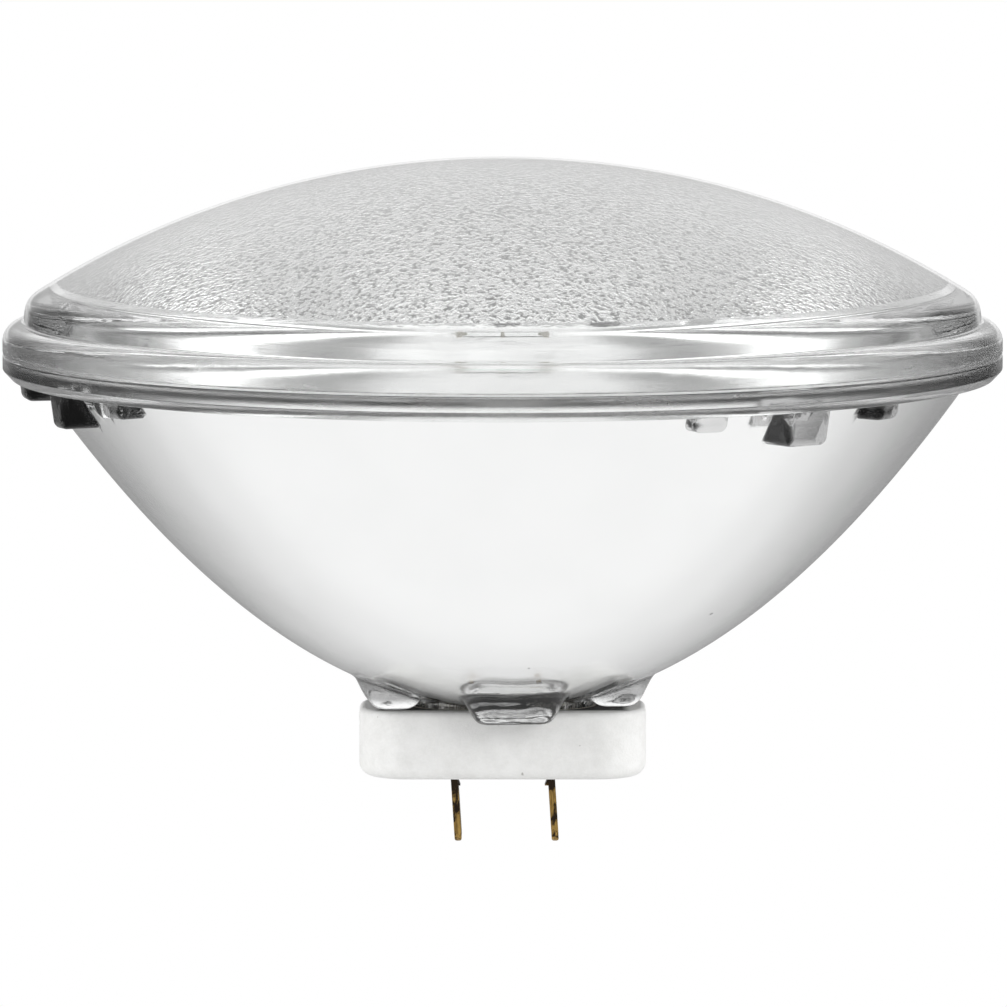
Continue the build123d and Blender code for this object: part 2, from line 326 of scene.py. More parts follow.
def blockGlass():
    # painted shade in the thick lugs and feet, set by place across the lamp; the feet thin out to clear toes
    material, tree, shader, coords = glassShader("blockGlass")
    place = axisParts(tree, coords)
    across = calc(tree, "MULTIPLY_ADD", place["X"], 0.5 / rimRadius, 0.5)
    shade = greyRamp(tree, across, [(0.5 + x / (2 * rimRadius), level) for x, level in glassLook["paintedLugShade"]])
    # painted shade: darkest at the feet's roots, fading to the clear toe tint below
    toe = remap(tree, place["Z"], glassLook["toeTo"], glassLook["toeFrom"], 1.0, 0.0)
    feed(tree, shader, "Base Color", blendColours(tree, toe, shade, glassLook["toeTint"]))
    # the lugs' reflections are dimmed against the feet, as painted shade
    low = remap(tree, place["Z"], glassLook["sheenTo"], glassLook["sheenFrom"], 1.0, 0.0)
    sheen = blendColours(tree, low, grey(glassLook["dimmedLugSheen"]), grey(1.0))
    feed(tree, shader, "Specular Tint", sheen)
    ripples = noise(tree, stretched(tree, coords, glassLook["rippleStretch"]), glassLook["rippleScale"])
    bump(tree, shader, ripples, glassLook["rippleDepth"])
    return material


def mirrorCoat():
    # evaporated aluminium, a little hazy in drifts, with a few pinholes
    material, tree, shader, coords = newMaterial("mirrorCoat")
    shader.inputs["Metallic"].default_value = 1.0
    drifts = noise(tree, coords, mirrorLook["driftScale"], detail=3.0)
    roughen(tree, shader, drifts, mirrorLook["smooth"], mirrorLook["rough"])
    dots = noise(tree, coords, mirrorLook["pinholeScale"], detail=1.0)
    pinholes = remap(
        tree, dots, mirrorLook["pinholeFrom"], mirrorLook["pinholeTo"], 0.0, mirrorLook["pinholeShare"]
    )
    body = blendColours(tree, pinholes, grey(mirrorLook["bright"]), grey(mirrorLook["pinhole"]))
    feed(tree, shader, "Base Color", body)
    return material


def fusedJoint():
    # the two flanges are one glass here, with greyish patches where they met
    material, tree, shader, coords = newMaterial("fusedJoint")
    shader.inputs["Base Color"].default_value = grey(jointLook["shade"])
    shader.inputs["Roughness"].default_value = jointLook["rough"]
    clear = addNode(tree, "ShaderNodeBsdfTransparent")
    patches = noise(tree, coords, jointLook["patchScale"], roughness=0.6)
    showShader(tree, mixShaders(tree, greyRamp(tree, patches, jointLook["patches"]), clear, shader))
    return material


glass = pressedGlass()
stippled = stippledGlass()
block = blockGlass()
mirror = mirrorCoat()
joint = fusedJoint()


# Sections: an outline of (radius, height, rounding) corners becomes a smooth run of points

roundStep = math.radians(9)


def roundOff(corners):
    points = []
    for index, (r, z, rounding) in enumerate(corners):
        here = Vector((r, z))
        if not rounding:
            points.append(here)
            continue
        back = (Vector(corners[index - 1][:2]) - here).normalized()
        ahead = (Vector(corners[index + 1][:2]) - here).normalized()
        half = back.angle(ahead) / 2
        centre = here + (back + ahead).normalized() * (rounding / math.sin(half))
        start = here + back * (rounding / math.tan(half)) - centre
        turn = start.angle_signed(here + ahead * (rounding / math.tan(half)) - centre)
        count = max(2, math.ceil(abs(turn) / roundStep))
        for k in range(count + 1):
            points.append(centre + Matrix.Rotation(-turn * k / count, 2) @ start)
    return points


def spin(points, segments):
    # rings of vertices and the quads between them; a point on the axis becomes a pole.
    # They start at -45 degrees, as the sheet inside the dome does
    vertices, rings, faces = [], [], []
    for point in points:
        if point.x < tiny:
            rings.append([len(vertices)] * segments)
            vertices.append((0, 0, point.y))
            continue
        rings.append(range(len(vertices), len(vertices) + segments))
        for k in range(segments):
            a = 2 * math.pi * k / segments - math.pi / 4
            vertices.append((point.x * math.cos(a), point.x * math.sin(a), point.y))
    for low, high in zip(rings, rings[1:]):
        for k in range(segments):
            corners = (low[k], low[(k + 1) % segments], high[(k + 1) % segments], high[k])
            faces.append(tuple(dict.fromkeys(corners)))
    return vertices, faces, rings


def outwardMesh(name, vertices, faces):
    mesh = bpy.data.meshes.new(name)
    mesh.from_pydata(vertices, [], faces)
    shape = bmesh.new()
    shape.from_mesh(mesh)
    bmesh.ops.recalc_face_normals(shape, faces=shape.faces)
    shape.to_mesh(mesh)
    shape.free()
    return mesh


# Lens: turned section, with a fine sheet inside the dome that takes the stipple
lens = {
    "shoulderHeight": 5.4 * mm, "shoulderWidth": 3.7 * mm, "shoulderRound": 3.3 * mm,
    "notchRound": 0.6 * mm, "skirtDraft": 0.5 * mm, "skirtWall": 5.4 * mm,
    "domeEdge": 9.4 * mm, "edgeRound": 4.0 * mm, "wall": 2.6 * mm, "innerRound": 1.2 * mm,
    "seamRound": 0.45 * mm, "cells": 264, "domeRings": 34, "clearRing": 0.6 * mm,
    "sheetGap": 0.5 * mm, "wavePitch": 2.0 * mm, "waveDepth": 0.13 * mm, "waveDetail": 1.0,
    "waveDistortion": 0.6, "seed": 3.0, "smoothAngle": 60,
}


def lensTree():
    tree, given, result = newTree(
        "pressStipple", Pitch=1.0, Depth=0.0, Seed=0.0, Clear=None, Stippled=None, Joint=None
    )
    place = addNode(tree, "GeometryNodeInputPosition").outputs[0]
    grain = addNode(tree, "ShaderNodeTexNoise", noise_dimensions="4D")
    feed(tree, grain, "Vector", place)
    feed(tree, grain, "W", given["Seed"])
    feed(tree, grain, "Scale", calc(tree, "DIVIDE", 1.0, given["Pitch"]))
    feed(tree, grain, "Detail", lens["waveDetail"])
    feed(tree, grain, "Distortion", lens["waveDistortion"])
    inside = addNode(tree, "GeometryNodeInputNamedAttribute", data_type="FLOAT")
    inside.inputs["Name"].default_value = "inside"
    lift = calc(tree, "MULTIPLY", calc(tree, "SUBTRACT", grain.outputs[0], 0.5), given["Depth"])
    lift = calc(tree, "MULTIPLY", lift, inside.outputs[0])
    offset = addNode(tree, "ShaderNodeVectorMath", operation="SCALE")
    feed(tree, offset, 0, addNode(tree, "GeometryNodeInputNormal").outputs[0])
    feed(tree, offset, "Scale", lift)
    press = addNode(tree, "GeometryNodeSetPosition")
    feed(tree, press, "Geometry", given["Geometry"])
    feed(tree, press, "Offset", offset.outputs[0])
    last = addNode(tree, "GeometryNodeRealizeInstances")
    feed(tree, last, 0, press.outputs[0])
    finish = addNode(tree, "GeometryNodeInputNamedAttribute", data_type="INT")
    finish.inputs["Name"].default_value = "finish"
    for number, label in enumerate(("Clear", "Stippled", "Joint")):
        chosen = addNode(tree, "FunctionNodeCompare", data_type="INT", operation="EQUAL")
        tree.links.new(finish.outputs[0], chosen.inputs[2])
        chosen.inputs[3].default_value = number
        paint = addNode(tree, "GeometryNodeSetMaterial")
        feed(tree, paint, "Geometry", last.outputs[0])
        feed(tree, paint, "Selection", chosen.outputs[0])
        feed(tree, paint, "Material", given[label])
        last = paint
    feed(tree, result, 0, last.outputs[0])
    return tree


def lensPiece():
    skirtRadius = rimRadius - lens["shoulderWidth"]
    skirtTop = skirtRadius - lens["skirtDraft"]
    mouth = skirtRadius - lens["skirtWall"]
    rise = cadHigh.z - lens["domeEdge"]
    domeRadius = (skirtTop ** 2 + rise ** 2) / (2 * rise)
    domeCentre = cadHigh.z - domeRadius
    innerRadius = domeRadius - lens["wall"]

    def domeHeight(radius, r):
        return domeCentre + math.sqrt(radius ** 2 - r ** 2)

    spacing = skirtTop / lens["domeRings"]
    section = [(k * spacing, domeHeight(domeRadius, k * spacing), 0) for k in range(lens["domeRings"])]
    strip = mouth - lens["innerRound"] - lens["clearRing"]
    sheetEdge = strip - lens["sheetGap"]
    stripMiddle = strip + lens["clearRing"] / 2
    section += [
        (skirtTop, lens["domeEdge"], lens["edgeRound"]),
        (skirtRadius, lens["shoulderHeight"], lens["notchRound"]),
        (rimRadius, lens["shoulderHeight"], lens["shoulderRound"]),
        (rimRadius, 0, lens["seamRound"]),
        (mouth, 0, 0),
        (mouth, domeHeight(innerRadius, mouth), lens["innerRound"]),
        (stripMiddle, domeHeight(innerRadius, stripMiddle), 0),
        (strip, domeHeight(innerRadius, strip), 0),
    ]
    cells = lens["cells"]
    vertices, faces, rings = spin(roundOff(section), cells)
    seamFaces = [k for k, face in enumerate(faces) if all(abs(vertices[v][2]) < tiny for v in face)]
    coarse = len(vertices)

    # square grid drawn onto the disc, so that its cells stay even from the middle to the edge
    for i in range(cells + 1):
        for j in range(cells + 1):
            a, b = 2 * i / cells - 1, 2 * j / cells - 1
            if a == 0 and b == 0:
                r, turn = 0, 0
            elif abs(a) > abs(b):
                r, turn = a, math.pi / 4 * b / a
            else:
                r, turn = b, math.pi / 2 - math.pi / 4 * a / b
            r *= sheetEdge
            vertices.append((r * math.cos(turn), r * math.sin(turn), domeHeight(innerRadius, r)))
    row = cells + 1
    edge = [coarse + cells * row + j for j in range(cells)]
    edge += [coarse + i * row + cells for i in range(cells, 0, -1)]
    edge += [coarse + j for j in range(cells, 0, -1)]
    edge += [coarse + i * row for i in range(cells)]
    firstInside = len(faces)
    for i in range(cells):
        for j in range(cells):
            k = coarse + i * row + j
            faces.append((k, k + 1, k + row + 1, k + row))
    # the sheet's edge has four cells to each segment of the turned glass
    last = rings[-1]
    for k in range(cells):
        here, following = last[k], last[(k + 1) % cells]
        fine = [edge[(4 * k + step) % len(edge)] for step in range(5)]
        faces += [(here, fine[0], fine[1]), (here, fine[1], fine[2]), (here, fine[2], following)]
        faces += [(following, fine[2], fine[3]), (following, fine[3], fine[4])]

    mesh = outwardMesh("lensGlass", vertices, faces)
    inside = mesh.attributes.new("inside", "FLOAT", "POINT")
    inside.data.foreach_set("value", [float(k >= coarse) for k in range(len(vertices))])
    finish = mesh.attributes.new("finish", "INT", "FACE")
    kinds = [0] * firstInside + [1] * (len(faces) - firstInside)
    for k in seamFaces:
        kinds[k] = 2
    finish.data.foreach_set("value", kinds)
    piece = newPiece("lensGlass", mesh)
    runTree(
        piece, lensTree(), Pitch=lens["wavePitch"], Depth=lens["waveDepth"], Seed=lens["seed"],
        Clear=glass, Stippled=stippled, Joint=joint,
    )
    shadeSmooth(piece, lens["smoothAngle"])
    trueFlats(piece)
    finishPiece(piece, "lens_glass", "lens")


lensPiece()

# Reflector: flange and bowl turned from one section; the feet are pressed out of its back
bowl = {
    "flangeDepth": 4.4 * mm, "bevelWidth": 1.6 * mm, "bevelHeight": 1.7 * mm, "seatWidth": 4.2 * mm,
    "edgeRound": 0.35 * mm, "hollowRound": 0.5 * mm, "depth": 63.95 * mm, "cavityDepth": 60.35 * mm,
    "mouthRadius": 80.4 * mm, "wall": 3.6 * mm, "clearBand": 3.4 * mm, "segments": 320, "rings": 40,
    "coatReach": 0.3 * mm, "seatGap": 0.02 * mm, "blockRise": 0.05 * mm, "smoothAngle": 50,
}
feet = {
    "turn": 6.0, "root": 12.9 * mm, "reach": 27.1 * mm, "lapReach": 25.2 * mm, "width": 20.4 * mm,
    "corner": 6.0 * mm, "draft": 24.0, "bury": 1.2 * mm, "seatDepth": 63.5 * mm, "lapDrop": 1.1 * mm,
    "edgeRound": 4.5 * mm, "rootRound": 3.0 * mm,
    "fineFrom": 9 * mm, "fineTo": 31 * mm, "fineStep": 0.32 * mm,
}
shoulderRadius = rimRadius - bowl["bevelWidth"] - bowl["seatWidth"]


def bowlRadiusAt(depth):
    return shoulderRadius * math.sqrt((bowl["depth"] - depth) / (bowl["depth"] - bowl["flangeDepth"]))


def bowlDepthAt(radius):
    return bowl["depth"] - (bowl["depth"] - bowl["flangeDepth"]) * (radius / shoulderRadius) ** 2


def cavityHeight(radius):
    return bowl["cavityDepth"] * ((radius / bowl["mouthRadius"]) ** 2 - 1)


def footTree():
    # every point of the bowl's back sinks to the lower of the wall and the nearest foot,
    # with a soft hollow between them
    tree, given, result = newTree(
        "pressFeet", Turn=0.0, Root=0.0, SeatReach=1.0, LapReach=1.0, Width=1.0, Corner=0.0, Slope=1.0,
        SeatTop=0.0, LapTop=0.0, Seat=0.0, Lap=0.0, EdgeRound=0.0, RootRound=0.0, Glass=None,
    )
    place = addNode(tree, "GeometryNodeInputPosition").outputs[0]
    back = addNode(tree, "ShaderNodeVectorRotate", rotation_type="Z_AXIS")
    feed(tree, back, "Vector", place)
    feed(tree, back, "Angle", calc(tree, "MULTIPLY", given["Turn"], -1.0))
    along = axisParts(tree, vectorCalc(tree, "ABSOLUTE", back.outputs[0]))
    wall = calc(tree, "MULTIPLY", axisParts(tree, place)["Z"], -1.0)
    halfWidth = calc(tree, "MULTIPLY", given["Width"], 0.5)
    depth = wall
    for outwards, across, bottom in (("X", "Y", "Seat"), ("Y", "X", "Lap")):
        reach = given[bottom + "Reach"]
        middle = calc(tree, "MULTIPLY", calc(tree, "ADD", given["Root"], reach), 0.5)
        halfLength = calc(tree, "MULTIPLY", calc(tree, "SUBTRACT", reach, given["Root"]), 0.5)
        u = calc(tree, "ABSOLUTE", calc(tree, "SUBTRACT", along[outwards], middle))
        u = calc(tree, "ADD", calc(tree, "SUBTRACT", u, halfLength), given["Corner"])
        v = calc(tree, "ADD", calc(tree, "SUBTRACT", along[across], halfWidth), given["Corner"])
        corner = addNode(tree, "ShaderNodeCombineXYZ")
        feed(tree, corner, "X", calc(tree, "MAXIMUM", u, 0.0))
        feed(tree, corner, "Y", calc(tree, "MAXIMUM", v, 0.0))
        outside = vectorCalc(tree, "LENGTH", corner.outputs[0], output=1)
        inside = calc(tree, "MINIMUM", calc(tree, "MAXIMUM", u, v), 0.0)
        inset = calc(tree, "SUBTRACT", given["Corner"], calc(tree, "ADD", outside, inside))
        side = calc(tree, "ADD", given[bottom + "Top"], calc(tree, "DIVIDE", inset, given["Slope"]))
        foot = calc(tree, "SMOOTH_MIN", side, given[bottom], given["EdgeRound"])
        depth = calc(tree, "SMOOTH_MAX", depth, foot, given["RootRound"])
    onBack = addNode(tree, "GeometryNodeInputNamedAttribute", data_type="FLOAT")
    onBack.inputs["Name"].default_value = "back"
    drop = calc(tree, "MULTIPLY", calc(tree, "SUBTRACT", wall, depth), onBack.outputs[0])
    offset = addNode(tree, "ShaderNodeCombineXYZ")
    feed(tree, offset, "Z", drop)
    press = addNode(tree, "GeometryNodeSetPosition")
    feed(tree, press, "Geometry", given["Geometry"])
    feed(tree, press, "Offset", offset.outputs[0])
    feed(tree, result, 0, realAndPainted(tree, press.outputs[0], given["Glass"]))
    return tree


def bowlPiece():
    # rings lie close together where the feet are
    fineFrom, fineTo, rings = feet["fineFrom"], feet["fineTo"], bowl["rings"]
    fine = round((fineTo - fineFrom) / feet["fineStep"])
    radii = [0.0, fineFrom / 3, fineFrom * 2 / 3]
    radii += [fineFrom + (fineTo - fineFrom) * k / fine for k in range(fine)]
    radii += [fineTo + (shoulderRadius - fineTo) * k / rings for k in range(rings)]
    section = [(r, -bowlDepthAt(r), 0) for r in radii]
    section += [
        (shoulderRadius, -bowl["flangeDepth"], bowl["hollowRound"]),
        (rimRadius - bowl["bevelWidth"], -bowl["flangeDepth"], bowl["edgeRound"]),
        (rimRadius, bowl["bevelHeight"] - bowl["flangeDepth"], bowl["edgeRound"]),
        (rimRadius, 0, lens["seamRound"]),
    ]
    for k in range(rings, -1, -1):
        r = bowl["mouthRadius"] * k / rings
        section.append((r, cavityHeight(r), 0))
    vertices, faces, turned = spin(roundOff(section), bowl["segments"])
    lastBack = turned[len(radii) - 1][-1]
    mesh = outwardMesh("reflectorGlass", vertices, faces)
    back = mesh.attributes.new("back", "FLOAT", "POINT")
    back.data.foreach_set("value", [float(k <= lastBack) for k in range(len(vertices))])
    piece = newPiece("reflectorGlass", mesh)
    runTree(
        piece, footTree(), Turn=math.radians(feet["turn"]), Root=feet["root"],
        SeatReach=feet["reach"], LapReach=feet["lapReach"], Width=feet["width"], Corner=feet["corner"],
        Slope=math.tan(math.radians(feet["draft"])), SeatTop=bowlDepthAt(feet["reach"]) - feet["bury"],
        LapTop=bowlDepthAt(feet["lapReach"]) - feet["bury"], Seat=feet["seatDepth"],
        Lap=feet["seatDepth"] + feet["lapDrop"], EdgeRound=feet["edgeRound"], RootRound=feet["rootRound"],
        Glass=glass,
    )
    return piece


outlineSteps, edgeSteps, leastCorner = 7, 8, 0.15 * mm  # points on a corner or edge, smallest corner


def roundedOutline(length, width, corner, inset, steps=outlineSteps):
    # rounded rectangle about its middle, drawn in by inset
    corner = max(corner - inset, leastCorner)
    points = []
    for quarter, (sx, sy) in enumerate(((1, 1), (-1, 1), (-1, -1), (1, -1))):
        cx, cy = sx * (length / 2 - inset - corner), sy * (width / 2 - inset - corner)
        for k in range(steps + 1):
            a = math.pi / 2 * (quarter + k / steps)
            points.append((cx + corner * math.cos(a), cy + corner * math.sin(a)))
    return points


def glassBlock(root, reach, width, top, bottom, draft, corner, edgeRound):
    # drafted block with a rounded lower edge, between two radii along +X
    slope = math.tan(math.radians(draft))
    drawnIn = (bottom - edgeRound - top) * slope
    levels = [(top, 0.0), (bottom - edgeRound, drawnIn)]
    for k in range(1, edgeSteps + 1):
        a = math.pi / 2 * k / edgeSteps
        levels.append((bottom - edgeRound * (1 - math.sin(a)), drawnIn + edgeRound * (1 - math.cos(a))))
    vertices, faces = [], []
    for depth, inset in levels:
        for x, y in roundedOutline(reach - root, width, corner, inset):
            vertices.append(((root + reach) / 2 + x, y, -depth))
    count = len(vertices) // len(levels)
    for low in range(len(levels) - 1):
        for k in range(count):
            a, b = low * count + k, low * count + (k + 1) % count
            faces.append((a, b, b + count, a + count))
    faces.append(tuple(range(count)))
    faces.append(tuple(range(len(vertices) - count, len(vertices))))
    return vertices, faces


def setRoundTree(angles):
    # one block, set at each of these turns about the lamp's axis
    tree, given, result = newTree("setRound", **{f"Turn {k}": 0.0 for k in range(len(angles))})
    spots = addNode(tree, "GeometryNodePoints")
    spots.inputs["Count"].default_value = len(angles)
    pick = addNode(tree, "GeometryNodeIndexSwitch", data_type="FLOAT")
    while len(pick.index_switch_items) < len(angles):
        pick.index_switch_items.new()
    feed(tree, pick, "Index", addNode(tree, "GeometryNodeInputIndex").outputs[0])
    for k in range(len(angles)):
        tree.links.new(given[f"Turn {k}"], pick.inputs[k + 1])
    turn = addNode(tree, "ShaderNodeCombineXYZ")
    feed(tree, turn, "Z", pick.outputs[0])
    place = addNode(tree, "GeometryNodeInstanceOnPoints")
    feed(tree, place, "Points", spots.outputs[0])
    feed(tree, place, "Instance", given["Geometry"])
    feed(tree, place, "Rotation", turn.outputs[0])
    feed(tree, result, 0, realAndPainted(tree, place.outputs[0], glass))
    return tree


def setRound(name, shape, angles):
    piece = newPiece(name, outwardMesh(name, *shape))
    turns = {f"Turn {k}": math.radians(angle - 90) for k, angle in enumerate(angles)}
    runTree(piece, setRoundTree(angles), **turns)
    return piece


def cutOrFuse(piece, tools, operation):
    for tool in tools:
        modifier = piece.modifiers.new(tool.name, "BOOLEAN")
        modifier.operation = operation
        modifier.solver = "EXACT"
        modifier.object = tool
    plainMesh(piece)
    for tool in tools:
        bpy.data.objects.remove(tool)


# Lugs and spigot; angles from the front, towards +X
lugs = {
    "keyAngles": (-64.2, 166.6), "wideKeyAngle": 37.4, "padSpacing": 13.0, "inset": 2.0 * mm,
    "draft": 8.0, "corner": 2.0 * mm, "edgeRound": 1.5 * mm, "bury": 1.0 * mm,
    "keyWidth": 6.5 * mm, "wideKeyWidth": 10.5 * mm, "keyDrop": 6.0 * mm,
    "padWidth": 7.0 * mm, "padDrop": 2.7 * mm,
}
spigot = {
    "pitch": 17.35 * mm, "radius": 7.53 * mm, "drop": 1.0 * mm, "bury": 1.0 * mm, "steps": 12,
    "holeRadius": 2.0 * mm, "holeBelow": 1 * mm, "holeAbove": 4 * mm, "holeSteps": 8,
}


def lugPieces():
    keys = (*lugs["keyAngles"], lugs["wideKeyAngle"])
    pads = [angle + side * lugs["padSpacing"] for angle in keys for side in (-1, 1)]
    kinds = {
        "keyLugs": (lugs["keyWidth"], lugs["keyDrop"], lugs["keyAngles"]),
        "wideKeyLug": (lugs["wideKeyWidth"], lugs["keyDrop"], (lugs["wideKeyAngle"],)),
        "padLugs": (lugs["padWidth"], lugs["padDrop"], pads),
    }
    made = []
    for name, (width, drop, angles) in kinds.items():
        bottom = bowl["flangeDepth"] + drop
        shape = glassBlock(
            bowlRadiusAt(bottom) - bowl["wall"] / 2, rimRadius - lugs["inset"], width,
            bowl["flangeDepth"] - lugs["bury"], bottom, lugs["draft"], lugs["corner"], lugs["edgeRound"],
        )
        made.append(setRound(name, shape, angles))
    return made


def prism(name, outline, low, high):
    count = len(outline)
    vertices = [(x, y, low) for x, y in outline] + [(x, y, high) for x, y in outline]
    faces = [tuple(range(count)), tuple(range(count, 2 * count))]
    faces += [(k, (k + 1) % count, (k + 1) % count + count, k + count) for k in range(count)]
    return newPiece(name, outwardMesh(name, vertices, faces))


def cupSeats():
    # the metal cups' own shape, to cut the grooves that they are sealed into
    made = []
    for name in ("ferrule_left", "ferrule_right"):
        cutter = newPiece("cupSeat", nodes[name].data.copy())
        shape = bmesh.new()
        shape.from_mesh(cutter.data)
        bmesh.ops.remove_doubles(shape, verts=shape.verts, dist=weldGap)
        shape.to_mesh(cutter.data)
        shape.free()
        made.append(cutter)
    return made


def reflectorPiece():
    piece = bowlPiece()
    cutOrFuse(piece, lugPieces(), "UNION")
    pitch, radius, holeRadius = spigot["pitch"], spigot["radius"], spigot["holeRadius"]
    spigotEnd = -feet["seatDepth"] - spigot["drop"]
    seat = roundedOutline(pitch + 2 * radius, 2 * radius, radius, 0, spigot["steps"])
    spigotRoot = -bowlDepthAt(radius) + spigot["bury"]
    cutOrFuse(piece, [prism("spigotBlock", seat, spigotEnd, spigotRoot)], "UNION")
    holes = cupSeats()
    hole = roundedOutline(2 * holeRadius, 2 * holeRadius, holeRadius, 0, spigot["holeSteps"])
    for side in (-1, 1):
        outline = [(x + side * pitch / 2, y) for x, y in hole]
        holeTop = -bowl["cavityDepth"] + spigot["holeAbove"]
        holes.append(prism("rodHole", outline, spigotEnd - spigot["holeBelow"], holeTop))
    cutOrFuse(piece, holes, "DIFFERENCE")
    # the seam, the coated inside and the blocks that stand out of the bowl's back
    looks = [glass, mirror, joint, block]
    setMaterials(piece, *looks)
    for face in piece.data.polygons:
        at = face.center
        r = math.hypot(at.x, at.y)
        if abs(at.z) < weldGap:
            face.material_index = looks.index(joint)
        elif cavityHeight(r) - at.z < bowl["coatReach"] and at.z < -bowl["clearBand"]:
            face.material_index = looks.index(mirror)
        elif at.z < -bowl["flangeDepth"] - bowl["seatGap"] and -at.z > bowlDepthAt(r) + bowl["blockRise"]:
            face.material_index = looks.index(block)
    shadeSmooth(piece, bowl["smoothAngle"])
    trueFlats(piece)
    finishPiece(piece, "silvered_glass", "reflector")


reflectorPiece()


# Filament: the coiled wire in place of the plain tube
coil = {"turns": 30, "steps": 14, "wire": 0.35 * mm, "sides": 8, "smoothAngle": 60}


def coilTree():
    tree, given, result = newTree(
        "windCoil", Turns=1.0, Steps=8, Length=1.0, Radius=1.0, WireRadius=1.0, Sides=6, Height=0.0, Wire=None
    )
    helix = addNode(tree, "GeometryNodeCurveSpiral")
    for socket, label in (
        ("Resolution", "Steps"), ("Rotations", "Turns"), ("Start Radius", "Radius"),
        ("End Radius", "Radius"), ("Height", "Length"),
    ):
        feed(tree, helix, socket, given[label])
    centred = addNode(tree, "ShaderNodeCombineXYZ")
    feed(tree, centred, "X", calc(tree, "MULTIPLY", given["Length"], -0.5))
    feed(tree, centred, "Z", given["Height"])
    lay = addNode(tree, "GeometryNodeTransform")
    feed(tree, lay, "Geometry", helix.outputs[0])
    feed(tree, lay, "Translation", centred.outputs[0])
    feed(tree, lay, "Rotation", (0, math.pi / 2, 0))
    section = addNode(tree, "GeometryNodeCurvePrimitiveCircle")
    feed(tree, section, "Resolution", given["Sides"])
    feed(tree, section, "Radius", given["WireRadius"])
    wire = addNode(tree, "GeometryNodeCurveToMesh")
    feed(tree, wire, "Curve", lay.outputs[0])
    feed(tree, wire, "Profile Curve", section.outputs[0])
    feed(tree, wire, "Fill Caps", True)
    feed(tree, result, 0, realAndPainted(tree, wire.outputs[0], given["Wire"]))
    return tree


def filamentPiece(material):
    low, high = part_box("filament")
    piece = newPiece("filamentCoil", bpy.data.meshes.new("filamentCoil"))
    radius = coil["wire"] / 2
    runTree(
        piece, coilTree(), Turns=float(coil["turns"]), Steps=coil["steps"],
        Length=high.x - low.x - coil["wire"], Radius=(high.z - low.z) / 2 - radius, WireRadius=radius,
        Sides=coil["sides"], Height=(high.z + low.z) / 2, Wire=material,
    )
    shadeSmooth(piece, coil["smoothAngle"])
    finishPiece(piece, "tungsten", "filament")


# Ceramic, metals and cement
ceramicLook = {
    "pale": (0.84, 0.84, 0.83, 1.0), "dull": (0.74, 0.74, 0.725, 1.0),
    "cloudScale": 110, "cloudFrom": 0.35, "cloudTo": 0.7,
    "speck": (0.22, 0.20, 0.18, 1.0), "speckScale": 700, "speckFrom": 0.86, "speckTo": 0.89, "speckShare": 0.6,
    # painted shade on the top, in the gap under the bowl
    "paintedGapShade": (0.03, 0.028, 0.026, 1.0), "gapShadeInset": 4.5 * mm, "gapShadeFade": 0.6,
    "gapShadeFrom": 0.4 * mm, "gapShadeTo": 0.1 * mm,
    "grainPitch": 0.38 * mm, "grainDepth": 0.06 * mm, "smooth": 0.5, "rough": 0.75,
}
brassLook = {
    "bright": (0.40, 0.26, 0.08, 1.0), "worn": (0.20, 0.125, 0.04, 1.0), "tarnish": (0.03, 0.021, 0.014, 1.0),
    "lineStretch": (1, 1, 0.12), "lineScale": 2600, "lineFrom": 0.35, "lineTo": 0.65, "lineDepth": 0.02 * mm,
    "driftStretch": (1, 1, 0.4), "driftScale": 520, "darkFrom": 0.52, "darkTo": 0.62,
    "rootFrom": 4.0 * mm, "rootTo": 0.5 * mm, "rootShare": 0.28, "smooth": 0.28, "rough": 0.6,
}
wireLook = {
    "lineStretch": (1, 1, 0.05), "lineScale": 4200, "lineDepth": 0.008 * mm,
    "filmScale": 240, "filmFrom": 0.4, "filmTo": 0.7,
    "nickel": {
        "bright": (0.62, 0.60, 0.56, 1.0), "dull": (0.44, 0.42, 0.38, 1.0), "smooth": 0.2, "rough": 0.38,
    },
    "tungsten": {
        "bright": (0.27, 0.27, 0.28, 1.0), "dull": (0.16, 0.16, 0.17, 1.0), "smooth": 0.32, "rough": 0.5,
    },
}
cementLook = {
    "dark": (0.50, 0.46, 0.40, 1.0), "pale": (0.72, 0.69, 0.62, 1.0),
    "sandScale": 1500, "sandDepth": 0.08 * mm, "smooth": 0.8, "rough": 0.95,
}
beadLook = {"tint": (0.86, 0.93, 0.90, 1.0), "waveScale": 420, "waveDepth": 0.05 * mm}


